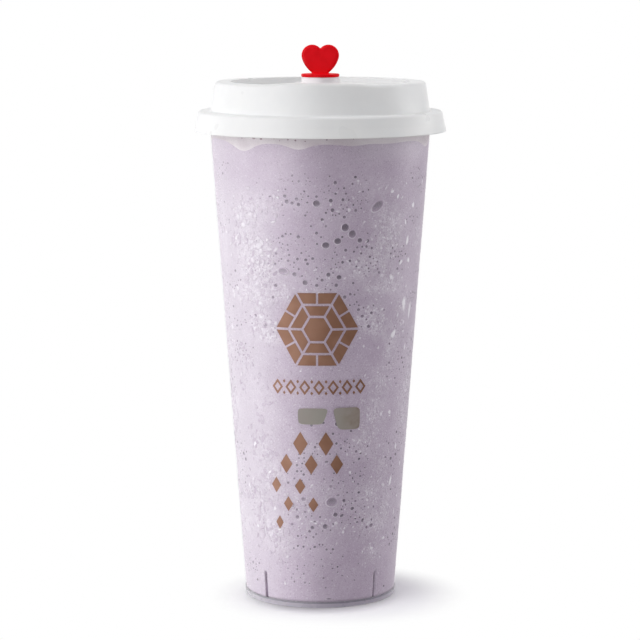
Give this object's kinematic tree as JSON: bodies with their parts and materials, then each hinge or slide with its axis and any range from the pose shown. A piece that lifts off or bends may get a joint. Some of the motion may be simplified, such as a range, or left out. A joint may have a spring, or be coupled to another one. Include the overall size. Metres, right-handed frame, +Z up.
{
  "type": "taro smoothie in a lidded takeaway cup",
  "caption": "Pale purple taro smoothie with froth on top, in a tall frosted takeaway cup with a white push-on lid and a red heart-shaped stopper.",
  "frame": {"origin": "centre of the foot, on the surface the cup stands on", "axes": "+Z up along the cup's axis, -Y towards the lid's drinking hole and its stopper, +X to the right of that side"},
  "size_m": [0.0954, 0.0954, 0.2119],
  "materials": {
    "cup_plastic": "clear moulded plastic with a soft haze",
    "smoothie": "opaque pale purple drink with bubbles and light flecks",
    "froth": "fine pale froth",
    "lid_plastic": "smooth white moulded plastic",
    "stopper_plastic": "soft red moulded plastic",
    "print_copper": "copper-coloured ink printed on the cup",
    "print_sage": "grey-green ink printed on the cup"
  },
  "bodies": {
    "root": {"cup": "cup_plastic", "smoothie": "smoothie", "froth": "froth", "lid": "lid_plastic", "stopper": "stopper_plastic"}
  },
  "joints": []
}
